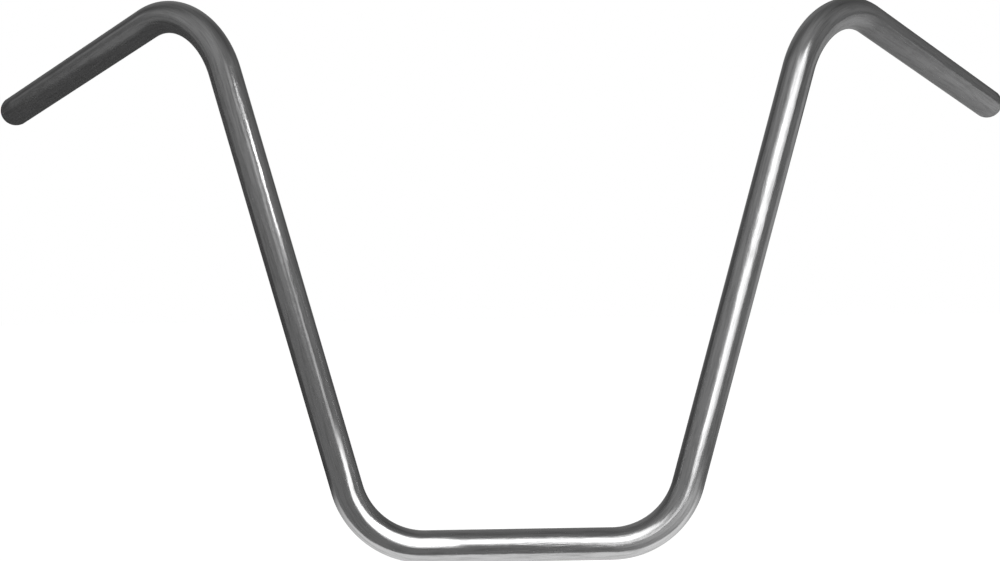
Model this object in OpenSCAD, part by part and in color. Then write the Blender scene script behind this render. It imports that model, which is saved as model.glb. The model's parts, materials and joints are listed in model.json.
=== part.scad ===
// One-piece high-rise handlebar, bent from a single steel tube, with a domed
// expander plug in each end. The origin is the middle of the clamp straight, on
// the tube's axis. +X is toward one grip, +Y toward the rider and +Z is up.

/* [Tube] */
// Outside diameter of the tube
tube_od = 22.2; // [19:0.1:28]
// Wall thickness of the tube
tube_wall = 2; // [1.2:0.1:2.6]
// Radius of every bend, measured to the tube's axis
bend_radius = 55; // [45:1:75]

/* [Bar shape] */
// Length of the straight that the centre clamp holds
clamp_straight = 128; // [100:1:160]
// Length of the straight part of each riser
riser_straight = 297; // [150:1:420]
// Angle by which each riser leans outward from upright
riser_lean = 15.7; // [6:0.1:20]
// Length of the straight that carries a grip
grip_straight = 169; // [140:1:220]
// Angle by which each grip sweeps back toward the rider, seen from above
grip_sweep = 40; // [15:1:55]
// Angle by which each grip falls below the horizontal
grip_droop = 16.5; // [5:0.5:25]

/* [End cap] */
// Height of the dome beyond the end of the tube
dome_height = 10; // [8:0.5:10.5]
// Length of the spigot inside the tube
spigot_length = 8; // [5:0.5:15]
// How much smaller than the tube the cap's radius is
cap_step = 0.1; // [0.05:0.05:0.3]
// Radial gap between the spigot and the tube
spigot_gap = 0.15; // [0.05:0.05:0.3]

/* [Clamp screw] */
// Diameter of the screw's shank
screw_d = 6; // [5:0.5:7]
// Length of the screw under its head
screw_length = 35; // [32:1:50]
// Diameter of the screw's head
head_d = 10; // [9:0.1:11]
// Height of the screw's head
head_height = 6; // [4:0.1:6]
// Width of the hexagon socket across its flats
socket_width = 5; // [3:0.5:5]
// Depth of the hexagon socket
socket_depth = 3; // [2:0.1:3.5]
// Thickness of the lock washer when it is flattened
washer_thickness = 1.6; // [1:0.1:2]
// Width of the lock washer's split
washer_split = 0.8; // [0.4:0.1:1.5]

/* [Expander] */
// Length of the rubber bush
bush_length = 20; // [16:1:30]
// Radial gap between the bush and the tube
bush_gap = 0.05; // [0.02:0.01:0.2]
// Length of the wedge nut
nut_length = 13; // [10:1:16]
// Radius of the wedge nut's small end
nut_nose_radius = 5; // [4.5:0.1:5.5]
// Half angle of the wedge nut's taper
nut_taper = 10; // [6:1:12]
// How far the wedge nut stands inside the bush when it is tight
nut_reach = 10; // [6:0.5:12]
// Radial clearance between the screw and the wedge nut's bore
thread_clearance = 0.05; // [0.02:0.01:0.1]
// Gap between the wedge nut's cone and the bush's seat
seat_gap = 0.1; // [0.05:0.05:0.3]

/* [Hidden] */
$fn = 96;

tube_r = tube_od / 2;
bore_r = tube_r - tube_wall;

// Clearances of an ordinary cap-screw hole and of the head in its counterbore
hole_r = screw_d / 2 + 0.3;
counterbore_r = head_d / 2 + 0.5;
washer_bore_r = screw_d / 2 + 0.1;
washer_r = head_d / 2 - 0.05;
head_recess = 0.3;
bush_bore_r = screw_d / 2 + 0.5;

// The lower bend turns the clamp straight's axis up into the riser's
lower_bend = 90 - riser_lean;

// The grip's direction, then the same direction in the riser's own frame, whose
// Z runs up the riser and whose X points to the middle of the lower bend
grip_dir = [cos(grip_sweep) * cos(grip_droop),
    sin(grip_sweep) * cos(grip_droop), -sin(grip_droop)];
grip_in_riser = [-grip_dir.x * cos(riser_lean) + grip_dir.z * sin(riser_lean),
    -grip_dir.y, grip_dir.x * sin(riser_lean) + grip_dir.z * cos(riser_lean)];
upper_bend_turn = atan2(grip_in_riser.y, grip_in_riser.x);
upper_bend = acos(grip_in_riser.z);

// The dome is part of a sphere that meets the cap's rim at the end of the tube
cap_r = tube_r - cap_step;
dome_r = (cap_r * cap_r + dome_height * dome_height) / (2 * dome_height);
dome_z = dome_height - dome_r;
counterbore_rim = dome_z + sqrt(dome_r * dome_r - counterbore_r * counterbore_r);

// Heights in a plug's frame: 0 is the end of the tube and +Z points out of it
head_top = counterbore_rim - head_recess;
head_seat = head_top - head_height;
washer_seat = head_seat - washer_thickness;
bush_mouth = -spigot_length - bush_length;
nut_nose = bush_mouth + nut_reach;

// Joint of a bend to a straight: the hair's breadth between their full walls, the
// depth at which the core starts, and the angle by which it enters the straight
hair = 0.01;
hair_angle = asin(hair / bend_radius);
core_inset = tube_wall / 4;
core_reach = 2;
// What a cut runs past the faces that it opens
cut_margin = 1;

module mirrored(side) {
    if (side == "left") mirror([1, 0, 0]) children();
    else children();
}

// Frames along one half of the bar: Z follows the tube's axis outward and X
// points to the middle of the bend that starts there

module past_bend(angle) {
    translate([bend_radius, 0, 0]) rotate([0, angle, 0])
        translate([-bend_radius, 0, 0]) children();
}

module at_clamp_end() {
    translate([clamp_straight / 2, 0, 0]) rotate([0, 90, 0]) rotate([0, 0, 180]) children();
}

module at_riser_foot() {
    at_clamp_end() past_bend(lower_bend) children();
}

module at_riser_top() {
    at_riser_foot() translate([0, 0, riser_straight]) rotate([0, 0, upper_bend_turn]) children();
}

module at_grip_root() {
    at_riser_top() past_bend(upper_bend) children();
}

module at_grip_end(side) {
    mirrored(side) at_grip_root() translate([0, 0, grip_straight]) children();
}

// The tube's section, or a thinner ring in the middle of its wall
module tube_section(inset = 0) {
    difference() {
        circle(r = tube_r - inset);
        circle(r = bore_r + inset);
    }
}

module straight_tube(length) {
    linear_extrude(length) tube_section();
}

// Part of a bend, from one angle to another around its middle
module bend_arc(from, to, inset = 0) {
    translate([bend_radius, 0, 0]) rotate([90, 0, 180])
        rotate_extrude(angle = to - from, start = from)
            translate([bend_radius, 0]) tube_section(inset);
}

// A bend whose full wall stops a hair short of the straights, and whose core runs
// on into the middle of their walls, so that the solids join without touching faces
module tube_bend(angle) {
    bend_arc(hair_angle, angle - hair_angle);
    bend_arc(-core_reach, angle + core_reach, core_inset);
}

module half_bar() {
    at_clamp_end() tube_bend(lower_bend);
    at_riser_foot() straight_tube(riser_straight);
    at_riser_top() tube_bend(upper_bend);
    at_grip_root() straight_tube(grip_straight);
}

module bar_tube() {
    color("silver") {
        translate([-clamp_straight / 2, 0, 0]) rotate([0, 90, 0]) rotate([0, 0, 180])
            straight_tube(clamp_straight);
        half_bar();
        mirror([1, 0, 0]) half_bar();
    }
}

// Domed cap whose spigot centres it in the tube, bored and counterbored
module end_cap(side) {
    color("gainsboro") at_grip_end(side) difference() {
        union() {
            intersection() {
                translate([0, 0, dome_z]) sphere(r = dome_r);
                cylinder(r = cap_r + cut_margin, h = dome_height + cut_margin);
            }
            translate([0, 0, -spigot_length]) cylinder(r = bore_r - spigot_gap, h = spigot_length);
        }
        translate([0, 0, -spigot_length - cut_margin])
            cylinder(r = hole_r, h = spigot_length + dome_height);
        translate([0, 0, washer_seat]) cylinder(r = counterbore_r, h = dome_height);
    }
}

// Split spring washer, flattened under the screw's head
module lock_washer(side) {
    color("dimgray") at_grip_end(side) translate([0, 0, washer_seat]) difference() {
        cylinder(r = washer_r, h = washer_thickness);
        translate([0, 0, -cut_margin])
            cylinder(r = washer_bore_r, h = washer_thickness + 2 * cut_margin);
        translate([0, -washer_split / 2, -cut_margin])
            cube([washer_r + cut_margin, washer_split, washer_thickness + 2 * cut_margin]);
    }
}

// Socket-head cap screw that draws the wedge nut toward the cap
module clamp_screw(side) {
    color("lightsteelblue") at_grip_end(side) difference() {
        union() {
            translate([0, 0, head_seat]) cylinder(d = head_d, h = head_height);
            translate([0, 0, head_seat - screw_length]) cylinder(d = screw_d, h = screw_length);
        }
        translate([0, 0, head_top - socket_depth])
            cylinder(d = socket_width / cos(30), h = socket_depth + cut_margin, $fn = 6);
    }
}

// Tapered solid that grows toward the inside of the bar, pointed with its nose at 0
module wedge(nose_r, length) {
    translate([0, 0, -length])
        cylinder(r1 = nose_r + length * tan(nut_taper), r2 = nose_r, h = length);
}

// Rubber bush that the wedge nut swells against the tube's bore
module expander_bush(side) {
    seat_depth = nut_reach + seat_gap;
    color("black") at_grip_end(side) difference() {
        translate([0, 0, bush_mouth]) cylinder(r = bore_r - bush_gap, h = bush_length);
        translate([0, 0, bush_mouth]) cylinder(r = bush_bore_r, h = bush_length + cut_margin);
        translate([0, 0, bush_mouth + seat_depth])
            wedge(nut_nose_radius + seat_gap, seat_depth + cut_margin);
    }
}

// Tapered nut, threaded onto the screw, that the bush keeps from turning
module wedge_nut(side) {
    color("goldenrod") at_grip_end(side) translate([0, 0, nut_nose]) difference() {
        wedge(nut_nose_radius, nut_length);
        translate([0, 0, -nut_length - cut_margin])
            cylinder(r = screw_d / 2 + thread_clearance, h = nut_length + 2 * cut_margin);
    }
}

bar_tube();
end_cap("left");  // left_end_cap
lock_washer("left");  // left_lock_washer
clamp_screw("left");  // left_clamp_screw
expander_bush("left");  // left_expander_bush
wedge_nut("left");  // left_wedge_nut
end_cap("right");  // right_end_cap
lock_washer("right");  // right_lock_washer
clamp_screw("right");  // right_clamp_screw
expander_bush("right");  // right_expander_bush
wedge_nut("right");  // right_wedge_nut
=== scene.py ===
"""One-piece high-rise handlebar in chromed steel, with a domed expander plug in each end."""
import json
import math
import bmesh
import bpy
from mathutils import Matrix, Vector


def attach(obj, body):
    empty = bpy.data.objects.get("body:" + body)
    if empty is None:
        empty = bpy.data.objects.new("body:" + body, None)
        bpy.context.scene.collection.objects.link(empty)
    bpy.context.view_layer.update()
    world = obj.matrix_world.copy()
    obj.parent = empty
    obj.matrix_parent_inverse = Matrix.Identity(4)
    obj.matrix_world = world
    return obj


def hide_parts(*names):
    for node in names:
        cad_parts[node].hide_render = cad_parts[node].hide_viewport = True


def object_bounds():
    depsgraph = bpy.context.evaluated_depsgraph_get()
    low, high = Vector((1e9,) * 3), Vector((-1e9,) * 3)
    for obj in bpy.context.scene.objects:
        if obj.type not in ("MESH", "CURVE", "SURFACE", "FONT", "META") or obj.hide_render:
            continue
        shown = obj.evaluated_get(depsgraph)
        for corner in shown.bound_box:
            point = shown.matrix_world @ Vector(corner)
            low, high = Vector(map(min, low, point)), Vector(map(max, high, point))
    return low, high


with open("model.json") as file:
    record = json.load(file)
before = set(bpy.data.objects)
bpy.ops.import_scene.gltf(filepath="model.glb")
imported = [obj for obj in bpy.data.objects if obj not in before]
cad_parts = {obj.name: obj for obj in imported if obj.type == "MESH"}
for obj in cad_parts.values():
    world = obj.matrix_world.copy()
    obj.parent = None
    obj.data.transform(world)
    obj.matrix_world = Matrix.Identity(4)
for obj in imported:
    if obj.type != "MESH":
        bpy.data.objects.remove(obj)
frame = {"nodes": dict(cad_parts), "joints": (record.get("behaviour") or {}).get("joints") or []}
cad_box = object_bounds()
mm = 0.001


# ---------------------------------------------------------------------------
# Camera: a long lens about a metre in front of the bar, half-way up its risers
# and a little left of its middle, almost level.
# ---------------------------------------------------------------------------
lens_place = (-0.0419, -1.0102, 0.1682)
lens_yaw = math.radians(1.76)
lens_pitch = math.radians(0.74)
lens_roll = math.radians(-0.67)


def add_object(name, data):
    piece = bpy.data.objects.new(name, data)
    bpy.context.scene.collection.objects.link(piece)
    return piece


camera = add_object("camera", bpy.data.cameras.new("camera"))
camera.data.sensor_width = 36
camera.data.lens = 53.05
camera.data.clip_end = 50
camera.matrix_world = (
    Matrix.Translation(lens_place)
    @ Matrix.Rotation(-lens_yaw, 4, "Z")
    @ Matrix.Rotation(math.pi / 2 + lens_pitch, 4, "X")
    @ Matrix.Rotation(lens_roll, 4, "Z")
)
bpy.context.scene.camera = camera


# ---------------------------------------------------------------------------
# Bar: one length of 22.2 mm steel tube with a 2 mm wall, drawn cold and bent
# four times on a mandrel, then ground, polished along its length, nickel
# plated and flash chromed. Nothing is welded to it.
# ---------------------------------------------------------------------------
tube_radius = 11.1 * mm
tube_wall = 2 * mm
bend_radius = 55 * mm
clamp_straight = 128 * mm
riser_straight = 297 * mm
grip_straight = 169 * mm
riser_lean = math.radians(15.7)
grip_sweep = math.radians(40)
grip_droop = math.radians(16.5)


def moved(x, y, z):
    return Matrix.Translation((x, y, z))


def past_bend(angle):
    """The frame after a bend toward +X of a frame whose Z follows the tube."""
    turn = Matrix.Rotation(angle, 4, "Y")
    return moved(bend_radius, 0, 0) @ turn @ moved(-bend_radius, 0, 0)


lower_bend = math.pi / 2 - riser_lean
clamp_end = (
    moved(clamp_straight / 2, 0, 0)
    @ Matrix.Rotation(math.pi / 2, 4, "Y")
    @ Matrix.Rotation(math.pi, 4, "Z")
)
riser_foot = clamp_end @ past_bend(lower_bend)
grip_heading = Vector((
    math.cos(grip_sweep) * math.cos(grip_droop),
    math.sin(grip_sweep) * math.cos(grip_droop),
    -math.sin(grip_droop),
))
from_riser = riser_foot.to_3x3().inverted() @ grip_heading
upper_bend = math.acos(from_riser.z)
riser_top = (
    riser_foot
    @ moved(0, 0, riser_straight)
    @ Matrix.Rotation(math.atan2(from_riser.y, from_riser.x), 4, "Z")
)
grip_root = riser_top @ past_bend(upper_bend)


def along_straight(start, length, steps):
    return [start @ Vector((0, 0, length * i / steps)) for i in range(steps)]


def along_bend(start, angle, steps):
    return [(start @ past_bend(angle * i / steps)).translation for i in range(steps)]


clamp_steps, riser_steps, grip_steps = 6, 26, 14
lower_bend_steps, upper_bend_steps = 44, 52
round_steps = 96
half_line = (
    along_straight(Matrix.Rotation(math.pi / 2, 4, "Y"), clamp_straight / 2, clamp_steps)
    + along_bend(clamp_end, lower_bend, lower_bend_steps)
    + along_straight(riser_foot, riser_straight, riser_steps)
    + along_bend(riser_top, upper_bend, upper_bend_steps)
    + along_straight(grip_root, grip_straight, grip_steps)
    + [grip_root @ Vector((0, 0, grip_straight))]
)
mirrored_half = [Vector((-p.x, p.y, p.z)) for p in reversed(half_line[1:])]
bar_line = mirrored_half + half_line

rail = bpy.data.curves.new("bar_rail", "CURVE")
rail.dimensions = "3D"
rail.twist_mode = "MINIMUM"
spline = rail.splines.new("POLY")
spline.points.add(len(bar_line) - 1)
for point, place in zip(spline.points, bar_line):
    point.co = (*place, 1)
rail_piece = add_object("bar_rail", rail)


class Wire:
    """A socket whose sums, products and limits become Math nodes."""

    def __init__(self, tree, socket):
        self.tree = tree
        self.socket = socket

    def maths(self, operation, *values):
        node = self.tree.nodes.new("ShaderNodeMath")
        node.operation = operation
        for slot, value in zip(node.inputs, values):
            plug(self.tree, slot, value)
        return Wire(self.tree, node.outputs[0])

    def __add__(self, other):
        return self.maths("ADD", self, other)

    def __radd__(self, other):
        return self.maths("ADD", other, self)

    def __sub__(self, other):
        return self.maths("SUBTRACT", self, other)

    def __rsub__(self, other):
        return self.maths("SUBTRACT", other, self)

    def __mul__(self, other):
        return self.maths("MULTIPLY", self, other)

    def __rmul__(self, other):
        return self.maths("MULTIPLY", other, self)

    def __pow__(self, other):
        return self.maths("POWER", self, other)

    def node(self, kind, settings=None, **sockets):
        """Any other node: its settings first, then the values or links of its sockets, which
        go by name, or by number after an s."""
        node = self.tree.nodes.new(kind)
        for name, value in (settings or {}).items():
            setattr(node, name, value)
        for name, value in sockets.items():
            numbered = name[0] == "s" and name[1:].isdigit()
            slot = node.inputs[int(name[1:]) if numbered else name.replace("_", " ")]
            plug(self.tree, slot, value)
        return node


def plug(tree, slot, value):
    if isinstance(value, Wire):
        tree.links.new(value.socket, slot)
    elif isinstance(value, bpy.types.NodeSocket):
        tree.links.new(value, slot)
    else:
        slot.default_value = value


def finish_named(name):
    """A new material, its Principled shader, and the Wire that its other nodes start from."""
    material = bpy.data.materials.new(name)
    material.use_nodes = True
    tree = material.node_tree
    return material, tree.nodes["Principled BSDF"], Wire(tree, None)


def dress(shader, make, share, shades, roughness, relief, strength, depth, metallic=1.0):
    """Gives a finish its colour, which goes from the first shade to the second by this share,
    its roughness, and its relief as a bump of this strength and depth."""
    first, second = shades
    tint = make.node("ShaderNodeMix", {"data_type": "RGBA"}, s0=share, s6=(*first, 1), s7=(*second, 1))
    bump = make.node("ShaderNodeBump", Strength=strength, Distance=depth, Height=relief)
    plug(make.tree, shader.inputs["Base Color"], tint.outputs[2])
    plug(make.tree, shader.inputs["Roughness"], roughness)
    plug(make.tree, shader.inputs["Normal"], bump.outputs["Normal"])
    shader.inputs["Metallic"].default_value = metallic


def clamp01(wire):
    return wire.maths("MAXIMUM", wire.maths("MINIMUM", wire, 1.0), 0.0)


# The polish follows the tube round its bends, so the pattern reads the tube as if
# it were straightened: X and Y across its section, Z along its length.
chrome, shader, make = finish_named("flash_chrome_on_nickel")
straight = make.node(
    "ShaderNodeAttribute", {"attribute_name": "straightened", "attribute_type": "GEOMETRY"}
).outputs["Vector"]


def stretched(make, source, scale):
    return make.node("ShaderNodeMapping", Vector=source, Scale=scale).outputs["Vector"]


def noise(make, vector, scale, detail=2.0, rough=0.5):
    made = make.node("ShaderNodeTexNoise", {"noise_dimensions": "3D"},
                     Vector=vector, Scale=scale, Detail=detail, Roughness=rough)
    return Wire(make.tree, made.outputs["Fac"])


polish_lines = noise(make, stretched(make, straight, (1, 1, 0.012)), 3200.0, 3.0, 0.6)
belt_streaks = noise(make, stretched(make, straight, (1, 1, 0.08)), 640.0, 3.0, 0.65)
patches = noise(make, stretched(make, straight, (1, 1, 0.4)), 30.0, 4.0, 0.6)
hairlines = clamp01((noise(make, stretched(make, straight, (1, 1, 0.06)), 1500.0, 1.0) - 0.66) * 9.0)
specks = clamp01((noise(make, straight, 1100.0, 1.0) - 0.74) * 14.0)
wear = clamp01((patches - 0.5) * 4.0)
wave = noise(make, stretched(make, straight, (1, 1, 0.35)), 62.0)
dimples = noise(make, stretched(make, straight, (1, 1, 0.5)), 260.0)
dress(
    shader, make,
    share=clamp01(wear * 0.3 + specks * 0.4 + (belt_streaks - 0.46) * 2.6),
    shades=((0.88, 0.88, 0.885), (0.56, 0.56, 0.56)),
    roughness=0.11 + polish_lines * 0.10 + wear * 0.06 + hairlines * 0.12 + specks * 0.2,
    relief=(wave * 1.2 + belt_streaks * (0.3 + wear * 0.9) + dimples * 0.35 + polish_lines * 0.02
            - hairlines * 0.01 - specks * 0.03),
    strength=0.5, depth=0.4 * mm,
)

sweep = bpy.data.node_groups.new("tube_along_rail", "GeometryNodeTree")
for name, kind in (("Rail", "NodeSocketGeometry"), ("Radius", "NodeSocketFloat"),
                   ("Sides", "NodeSocketInt"), ("Finish", "NodeSocketMaterial")):
    sweep.interface.new_socket(name, in_out="INPUT", socket_type=kind)
sweep.interface.new_socket("Tube", in_out="OUTPUT", socket_type="NodeSocketGeometry")
make = Wire(sweep, None)
given = make.node("NodeGroupInput")
along = make.node("GeometryNodeCaptureAttribute", {"domain": "POINT"})
along.capture_items.new("FLOAT", "Reach")
sweep.links.new(given.outputs["Rail"], along.inputs["Geometry"])
reach = make.node("GeometryNodeSplineParameter")
sweep.links.new(reach.outputs["Length"], along.inputs["Reach"])
ring = make.node("GeometryNodeCurvePrimitiveCircle",
                 Resolution=given.outputs["Sides"], Radius=given.outputs["Radius"])
around = make.node("GeometryNodeCaptureAttribute", {"domain": "POINT"})
around.capture_items.new("VECTOR", "Section")
sweep.links.new(ring.outputs["Curve"], around.inputs["Geometry"])
section = make.node("GeometryNodeInputPosition")
sweep.links.new(section.outputs["Position"], around.inputs["Section"])
skin = make.node("GeometryNodeCurveToMesh",
                 Curve=along.outputs["Geometry"], Profile_Curve=around.outputs["Geometry"])
split = make.node("ShaderNodeSeparateXYZ", Vector=around.outputs["Section"])
unrolled = make.node("ShaderNodeCombineXYZ", X=split.outputs["X"], Y=split.outputs["Y"],
                     Z=along.outputs["Reach"])
stored = make.node("GeometryNodeStoreNamedAttribute",
                   {"data_type": "FLOAT_VECTOR", "domain": "POINT"},
                   Geometry=skin.outputs["Mesh"], Name="straightened", Value=unrolled.outputs["Vector"])
whole = make.node("GeometryNodeRealizeInstances", Geometry=stored.outputs["Geometry"])
dressed = make.node("GeometryNodeSetMaterial",
                    Geometry=whole.outputs["Geometry"], Material=given.outputs["Finish"])
make.node("NodeGroupOutput", Tube=dressed.outputs["Geometry"])


def set_inputs(modifier, **values):
    """Gives a Geometry Nodes modifier its inputs, by the sockets' identifiers."""
    for item in modifier.node_group.interface.items_tree:
        if item.item_type == "SOCKET" and item.in_out == "INPUT" and item.name in values:
            modifier[item.identifier] = values[item.name]


def applied(piece, name):
    """A plain mesh of the piece as its modifiers leave it."""
    graph = bpy.context.evaluated_depsgraph_get()
    mesh = bpy.data.meshes.new_from_object(
        piece.evaluated_get(graph), preserve_all_data_layers=True, depsgraph=graph
    )
    mesh.name = name
    return mesh


swept = rail_piece.modifiers.new("sweep", "NODES")
swept.node_group = sweep
set_inputs(swept, Radius=tube_radius, Sides=round_steps, Finish=chrome)
bar_skin = add_object("chromed_bar", applied(rail_piece, "chromed_bar"))
bpy.data.objects.remove(rail_piece)


def point_outward(mesh):
    """Turns every face the same way, out from the tube's axis. The origin is on that axis."""
    shell = bmesh.new()
    shell.from_mesh(mesh)
    bmesh.ops.recalc_face_normals(shell, faces=shell.faces)
    near = min(shell.faces, key=lambda face: face.calc_center_median().length)
    if near.normal.dot(near.calc_center_median()) < 0:
        bmesh.ops.reverse_faces(shell, faces=shell.faces)
    shell.to_mesh(mesh)
    shell.free()


point_outward(bar_skin.data)
wall = bar_skin.modifiers.new("wall", "SOLIDIFY")
wall.thickness = tube_wall
wall.offset = -1
wall.use_even_offset = True
lip = bar_skin.modifiers.new("deburred_lip", "BEVEL")
lip.width = 0.25 * mm
lip.segments = 2
lip.limit_method = "ANGLE"
lip.angle_limit = math.radians(50)
bar_mesh = applied(bar_skin, "chromed_bar")
bar_skin.modifiers.clear()
bar_skin.data = bar_mesh
bar_skin.data.shade_smooth()
bar_skin.data.set_sharp_from_angle(angle=math.radians(40))
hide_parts("bar_tube")
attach(bar_skin, "bar")


# ---------------------------------------------------------------------------
# End caps: turned from bar stock, domed, bored for the screw, counterbored for
# its head, and chromed like the tube. A spigot centres each one in the tube.
# ---------------------------------------------------------------------------
sides = ("left", "right")
plug_frame = {}
for joint in frame["joints"]:
    if joint["type"] == "hinge":
        outward = Vector(joint["axis"]).normalized()
        turned = outward.to_track_quat("Z", "Y").to_matrix().to_4x4()
        plug_frame[joint["name"].split("_")[0]] = moved(*joint["pos_m"]) @ turned

cap_radius = 11.0
dome_sphere = 11.05
dome_middle = -1.05
dome_start = 5.45  # degrees above the sphere's middle, where it meets the rim
dome_arc = 54.0
dome_steps = 26
dome_clearance = 0.5
counterbore = 5.5
washer_seat = 0.634
screw_hole = 3.3
spigot = 8.95
spigot_depth = 8.0


def rings_to_mesh(name, rings, closed_loop, place):
    """A mesh from rings of points. A closed loop joins the last ring to the first, and
    otherwise a ring of one point is a pole."""
    shell = bmesh.new()
    made = [[shell.verts.new(place @ (Vector(p) * mm)) for p in ring] for ring in rings]
    pairs = list(zip(made, made[1:]))
    if closed_loop:
        pairs.append((made[-1], made[0]))
    for low, high in pairs:
        count = max(len(low), len(high))
        for i in range(count):
            j = (i + 1) % count
            corners = [low[i % len(low)], low[j % len(low)], high[j % len(high)], high[i % len(high)]]
            shell.faces.new(list(dict.fromkeys(corners)))  # a pole counts once
    bmesh.ops.recalc_face_normals(shell, faces=shell.faces)
    mesh = bpy.data.meshes.new(name)
    shell.to_mesh(mesh)
    shell.free()
    mesh.shade_smooth()
    return add_object(name, mesh)


def ring_at(height, radius_at, steps):
    """A ring of points round Z, as far out at each angle as radius_at says."""
    angles = [2 * math.pi * i / steps for i in range(steps)]
    return [(radius_at(a) * math.cos(a), radius_at(a) * math.sin(a), height) for a in angles]


def plain(radius):
    return lambda angle: radius


def rounded(corner, before, after, size):
    """Profile points that round a corner between its two neighbours."""
    corner, before, after = Vector(corner), Vector(before), Vector(after)
    start = corner + (before - corner).normalized() * size
    end = corner + (after - corner).normalized() * size
    quarters = [i / 4 for i in range(5)]
    return [tuple(start * (1 - t) ** 2 + corner * 2 * t * (1 - t) + end * t ** 2) for t in quarters]


def dome_height(radius):
    return dome_middle + math.sqrt(dome_sphere ** 2 - radius ** 2)


rim_height = dome_height(counterbore)
dome_angles = [math.radians(dome_start + dome_arc * i / dome_steps) for i in range(1, dome_steps + 1)]
dome_radii = [cap_radius * math.cos(angle) for angle in dome_angles]
dome_points = [(r, dome_height(r)) for r in dome_radii if r > counterbore + dome_clearance]
cap_profile = (
    rounded((cap_radius, 0), (spigot, 0), (cap_radius, 1), 0.2)
    + dome_points
    + rounded((counterbore, rim_height), (counterbore + 0.4, dome_height(counterbore + 0.4)),
              (counterbore, rim_height - 1), 0.35)
    + rounded((counterbore, washer_seat), (counterbore, washer_seat + 1), (screw_hole, washer_seat), 0.3)
    + rounded((screw_hole, washer_seat), (counterbore, washer_seat), (screw_hole, -spigot_depth), 0.25)
    + rounded((screw_hole, -spigot_depth), (screw_hole, 0), (spigot, -spigot_depth), 0.3)
    + rounded((spigot, -spigot_depth), (screw_hole, -spigot_depth), (spigot, 0), 0.6)
    + rounded((spigot, 0), (spigot, -spigot_depth), (cap_radius, 0), 0.15)
)

cap_chrome, shader, make = finish_named("chromed_turning")
place = make.node("ShaderNodeTexCoord").outputs["Object"]
cap_cloud = noise(make, place, 260.0, 3.0)
cap_specks = clamp01((noise(make, place, 2600.0, 1.0) - 0.74) * 12.0)
dress(
    shader, make,
    share=clamp01((cap_cloud - 0.5) * 3.0) * 0.5 + cap_specks * 0.4,
    shades=((0.76, 0.765, 0.77), (0.62, 0.62, 0.615)),
    roughness=0.10 + cap_cloud * 0.12 + cap_specks * 0.2,
    relief=cap_cloud * 0.6 + noise(make, place, 5200.0) * 0.1,
    strength=0.35, depth=0.1 * mm,
)

for side in sides:
    rings = [ring_at(height, plain(radius), round_steps) for radius, height in cap_profile]
    cap = rings_to_mesh(f"{side}_domed_cap", rings, True, plug_frame[side])
    cap.data.set_sharp_from_angle(angle=math.radians(50))
    cap.data.materials.append(cap_chrome)
    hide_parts(f"{side}_end_cap")
    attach(cap, "bar")


# ---------------------------------------------------------------------------
# Clamp screws: M6 x 35 socket-head cap screws in zinc-plated steel, cold headed,
# with a knurled head and rolled threads. Tightening one draws its nut into the bush.
# ---------------------------------------------------------------------------
screw_steps = 144
knurl_flutes = 36
head_top = 8.234
head_foot = 2.234
head_radius = 5.0
shank_radius = 3.0
thread_depth = 0.56
thread_pitch = 1.0
thread_start = -3.0
screw_tip = -32.766
socket_flats = 5.0
socket_depth = 3.0


def screw_ring(radius_at, height):
    return ring_at(height, radius_at, screw_steps)


def hexagon(flats):
    return lambda angle: flats / 2 / math.cos((angle + math.pi / 6) % (math.pi / 3) - math.pi / 6)


def knurled(depth):
    return lambda angle: head_radius - depth * abs((angle * knurl_flutes / (2 * math.pi)) % 1 - 0.5) * 2


def threaded(height, share):
    """A thread's radius at a height: one full turn climbs one pitch, right-handed."""
    def radius(angle):
        phase = (height / thread_pitch - angle / (2 * math.pi)) % 1
        ridge = min(1.0, max(0.0, 1.15 - abs(phase - 0.5) * 3.0))
        return shank_radius - thread_depth * share * (1 - ridge) - 0.02
    return radius


screw_rings = [
    [(0, 0, head_top - socket_depth - 0.9)],
    screw_ring(hexagon(socket_flats - 0.6), head_top - socket_depth),
    screw_ring(hexagon(socket_flats), head_top - socket_depth + 0.02),
    screw_ring(hexagon(socket_flats), head_top - 0.35),
    screw_ring(plain(socket_flats / 2 / math.cos(math.pi / 6) + 0.05), head_top - 0.02),
    screw_ring(plain(3.25), head_top),
    screw_ring(plain(4.35), head_top),
    screw_ring(plain(4.62), head_top - 0.08),
    screw_ring(knurled(0.0), head_top - 0.62),
    screw_ring(knurled(0.13), head_top - 0.8),
    screw_ring(knurled(0.13), head_foot + 0.75),
    screw_ring(knurled(0.0), head_foot + 0.55),
    screw_ring(plain(4.9), head_foot + 0.08),
    screw_ring(plain(4.75), head_foot),
    screw_ring(plain(shank_radius + 0.08), head_foot),
    screw_ring(plain(shank_radius - 0.02), head_foot - 0.1),
    screw_ring(plain(shank_radius - 0.02), thread_start),
]
pieces_per_turn = 6
turns = int((thread_start - screw_tip - 1.2) / thread_pitch)
for i in range(1, turns * pieces_per_turn + 1):
    height = thread_start - i * thread_pitch / pieces_per_turn
    screw_rings.append(screw_ring(threaded(height, min(1.0, i / (2 * pieces_per_turn))), height))
thread_end = thread_start - turns * thread_pitch
screw_rings += [
    screw_ring(plain(shank_radius - thread_depth), thread_end - 0.3),
    screw_ring(plain(shank_radius - thread_depth - 0.3), screw_tip + 0.02),
    screw_ring(plain(1.2), screw_tip),
    [(0, 0, screw_tip)],
]

zinc, shader, make = finish_named("zinc_plated_screw")
place = make.node("ShaderNodeTexCoord").outputs["Object"]
spangle = noise(make, place, 900.0, 3.0)
grime = clamp01((noise(make, place, 320.0, 3.0) - 0.5) * 5.0)
dress(
    shader, make,
    share=grime * 0.7, shades=((0.56, 0.57, 0.58), (0.33, 0.32, 0.31)),
    roughness=0.24 + spangle * 0.16 + grime * 0.2,
    relief=spangle, strength=0.4, depth=0.05 * mm,
)

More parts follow.
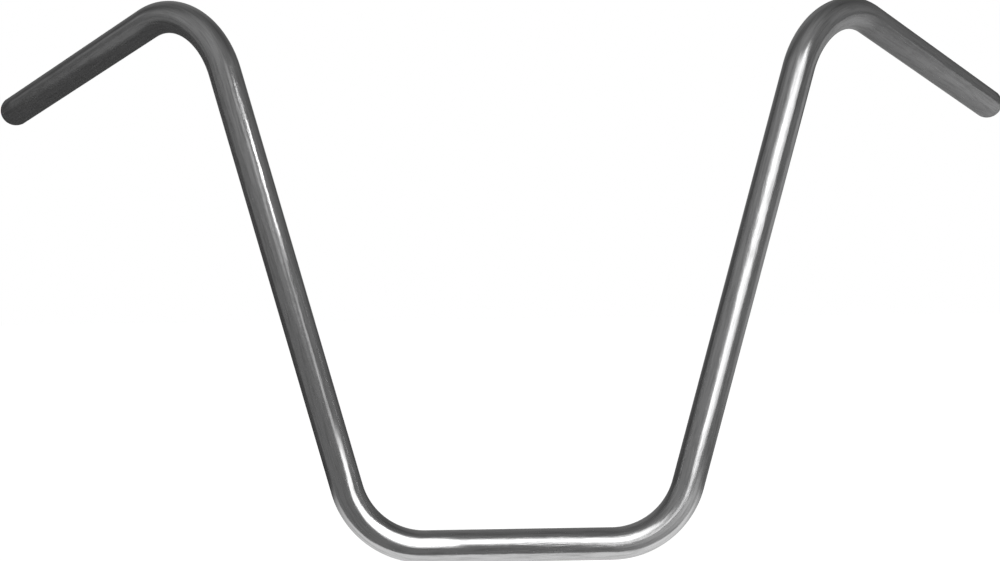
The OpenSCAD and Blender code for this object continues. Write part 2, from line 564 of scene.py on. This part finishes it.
for side in sides:
    screw = rings_to_mesh(f"{side}_socket_screw", screw_rings, False, plug_frame[side])
    screw.data.set_sharp_from_angle(angle=math.radians(32))
    screw.data.materials.append(zinc)
    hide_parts(f"{side}_clamp_screw")
    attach(screw, f"{side}_screw")


# ---------------------------------------------------------------------------
# Lock washers: spring steel, square wire coiled and cut, blued by heat
# treatment. Each lies flat under its screw's head.
# ---------------------------------------------------------------------------
spring_steel, shader, make = finish_named("blued_spring_steel")
place = make.node("ShaderNodeTexCoord").outputs["Object"]
scale_marks = noise(make, place, 1300.0, 4.0)
dress(
    shader, make,
    share=clamp01((scale_marks - 0.4) * 4.0), shades=((0.19, 0.2, 0.23), (0.35, 0.35, 0.36)),
    roughness=0.34 + scale_marks * 0.25,
    relief=scale_marks, strength=0.3, depth=0.03 * mm,
)


def repaint(node, material):
    """A CAD node whose shape is right keeps it and takes the real finish."""
    piece = frame["nodes"][node]
    piece.data.materials.clear()
    piece.data.materials.append(material)


for side in sides:
    repaint(f"{side}_lock_washer", spring_steel)


# ---------------------------------------------------------------------------
# Expander bushes: moulded black rubber, pushed outward against the tube's bore
# by the nut's taper, so that the plug grips.
# ---------------------------------------------------------------------------
rubber, shader, make = finish_named("moulded_black_rubber")
place = make.node("ShaderNodeTexCoord").outputs["Object"]
pores = noise(make, place, 1700.0, 4.0, 0.6)
bloom = clamp01((noise(make, place, 150.0, 3.0) - 0.45) * 3.0)
dress(
    shader, make,
    share=bloom * 0.6, shades=((0.017, 0.017, 0.018), (0.05, 0.05, 0.048)),
    roughness=0.55 + pores * 0.25 + bloom * 0.1,
    relief=pores, strength=0.5, depth=0.06 * mm, metallic=0.0,
)

for side in sides:
    repaint(f"{side}_expander_bush", rubber)


# ---------------------------------------------------------------------------
# Wedge nuts: turned brass cones, tapped M6, each drawn into its bush as the
# screw is tightened.
# ---------------------------------------------------------------------------
brass, shader, make = finish_named("turned_brass")
place = make.node("ShaderNodeTexCoord").outputs["Object"]
tool_marks = noise(make, place, 2400.0, 3.0)
tarnish = clamp01((noise(make, place, 210.0, 3.0) - 0.45) * 3.5)
dress(
    shader, make,
    share=tarnish * 0.7, shades=((0.72, 0.53, 0.24), (0.45, 0.31, 0.14)),
    roughness=0.22 + tool_marks * 0.18 + tarnish * 0.2,
    relief=tool_marks, strength=0.3, depth=0.04 * mm,
)

for side in sides:
    repaint(f"{side}_wedge_nut", brass)


# ---------------------------------------------------------------------------
# Studio: a pale floor that runs into a white surround, and soft boxes with
# grids on them, so that each lights the part of the bar that it points at.
# ---------------------------------------------------------------------------
floor_level = cad_box[0].z - 0.2 * mm
floor_side, floor_front, floor_back = 8, -3, 12
floor_corners = [(-floor_side, floor_front), (floor_side, floor_front),
                 (floor_side, floor_back), (-floor_side, floor_back)]
floor_mesh = bpy.data.meshes.new("studio_floor")
floor_mesh.from_pydata([(x, y, floor_level) for x, y in floor_corners], [], [(0, 1, 2, 3)])
floor = add_object("studio_floor", floor_mesh)
paper, shader, make = finish_named("pale_paper_with_painted_reflection")
tree = paper.node_tree
path = make.node("ShaderNodeLightPath")
place = make.node("ShaderNodeTexCoord").outputs["Object"]
axes = make.node("ShaderNodeSeparateXYZ", Vector=place)
east, north = Wire(tree, axes.outputs["X"]), Wire(tree, axes.outputs["Y"])
shader.inputs["Base Color"].default_value = (0.9, 0.9, 0.9, 1)
shader.inputs["Roughness"].default_value = 0.9
glow = make.node("ShaderNodeEmission", Color=(1, 1, 1, 1), Strength=0.93)
seen = make.node("ShaderNodeAddShader", s0=shader.outputs[0], s1=glow.outputs[0])

# Painted reflection: what the polished tube mirrors of the paper is a painted tone that only glossy rays
# see. It has a dim tone, a brighter front, a ramp behind the right side, a painted lit edge under the
# clamp straight, and one painted round pool of light.
painted_pool_east, painted_pool_north, painted_pool_reach = 0.17, -0.11, 0.14
across, ahead = east - painted_pool_east, north - painted_pool_north
# Painted light: the front, ramp, lit edge and pool below are painted tones, not light falling on the
# paper.
painted_bright_front = clamp01(north * -20.0 + 0.5)
painted_right_ramp = clamp01(east * 1.1 + 0.1) * clamp01(north * 6.0 + 0.3)
painted_lit_edge = clamp01(north * 400.0 + 6.6) * clamp01(1.2 - east * east * 16.0 - north * north * 20.0)
painted_light_pool = clamp01(1.0 - (across * across + ahead * ahead) * (1 / painted_pool_reach ** 2))
painted_reflection_tone = 0.045 + painted_bright_front * 0.075 + painted_right_ramp * 0.2 + painted_lit_edge * 0.5 + painted_light_pool * 0.3
# Painted reflection: glossy rays see this emission instead of the lit paper.
painted_reflection = make.node("ShaderNodeEmission", Color=painted_reflection_tone, Strength=1.0)
chosen = make.node("ShaderNodeMixShader", s0=Wire(tree, path.outputs["Is Glossy Ray"]),
                   s1=seen.outputs[0], s2=painted_reflection.outputs[0])
tree.links.new(chosen.outputs[0], tree.nodes["Material Output"].inputs["Surface"])
floor.data.materials.append(paper)

world = bpy.data.worlds.new("studio")
bpy.context.scene.world = world
world.use_nodes = True
tree = world.node_tree
make = Wire(tree, None)
heading = make.node("ShaderNodeTexCoord").outputs["Generated"]


def toward(azimuth, elevation):
    """Azimuth 0 is +Y, behind the bar, 90 is +X and 180 is behind the camera."""
    a, e = math.radians(azimuth), math.radians(elevation)
    return Vector((math.sin(a) * math.cos(e), math.cos(a) * math.cos(e), math.sin(e)))


soft_walls = (  # azimuth, elevation, tightness, brightness
    (-150, 0, 2.0, 0.12),
    (180, 50, 3.0, 0.13),
    (-80, 20, 120.0, 0.10),
    (-105, 22, 20.0, 0.10),
    (105, 20, 10.0, 0.10),
    (110, -30, 4.0, 0.04),
    (60, 18, 10.0, 0.07),
    (-15, 40, 5.0, 0.13),
    (0, 5, 30.0, 0.25),
)
surround = 0.035
for azimuth, elevation, tightness, brightness in soft_walls:
    facing = make.node("ShaderNodeVectorMath", {"operation": "DOT_PRODUCT"},
                       s0=heading, s1=toward(azimuth, elevation))
    surround = surround + clamp01(Wire(tree, facing.outputs["Value"])) ** tightness * brightness
backdrop = make.node("ShaderNodeBackground", Color=(1, 1, 1, 1), Strength=1.0)
walls = make.node("ShaderNodeBackground", Color=surround, Strength=1.0)
path = make.node("ShaderNodeLightPath")
shown = make.node("ShaderNodeMixShader", s0=Wire(tree, path.outputs["Is Camera Ray"]),
                  s1=walls.outputs[0], s2=backdrop.outputs[0])
tree.links.new(shown.outputs[0], tree.nodes["World Output"].inputs["Surface"])


def soft_box(name, place, target, width, height, brightness, grid):
    """A lamp behind white cloth that fades to its edges. The grid narrows its beam."""
    lamp = bpy.data.lights.new(name, "AREA")
    lamp.shape = "RECTANGLE"
    lamp.size = width
    lamp.size_y = height
    lamp.energy = brightness * math.pi * width * height
    lamp.spread = math.radians(grid)
    lamp.use_nodes = True
    tree = lamp.node_tree
    make = Wire(tree, None)
    cloth = make.node("ShaderNodeNewGeometry").outputs["Parametric"]
    parts = make.node("ShaderNodeSeparateXYZ", Vector=cloth)
    fade = 1.0
    for axis, fullness in (("X", 1.6), ("Y", 1.2)):
        centred = Wire(tree, parts.outputs[axis]) * 2.0 - 1.0
        fade = fade * clamp01((1.0 - centred * centred) * fullness) ** 1.8
    plug(tree, tree.nodes["Emission"].inputs["Color"], fade)
    box = add_object(name, lamp)
    box.location = place
    box.rotation_mode = "QUATERNION"
    box.rotation_quaternion = (Vector(target) - Vector(place)).to_track_quat("-Z", "Y")
    box.visible_camera = False


soft_box("clamp_box", (0.02, -0.40, 0.29), (0.02, 0, 0), 0.30, 0.54, 0.20, 70)
soft_box("right_panel", (0.265, -0.36, 0.20), (0.265, 0, 0.20), 0.46, 0.76, 0.36, 100)
soft_box("upper_left_strip", (0.27, -0.37, 0.46), (-0.20, 0, 0.32), 0.16, 0.20, 0.62, 90)
soft_box("corner_card", (-0.066, -0.065, 0.045), (-0.075, 0, 0.006), 0.055, 0.13, 0.95, 150)

bpy.context.scene.view_settings.view_transform = "Standard"
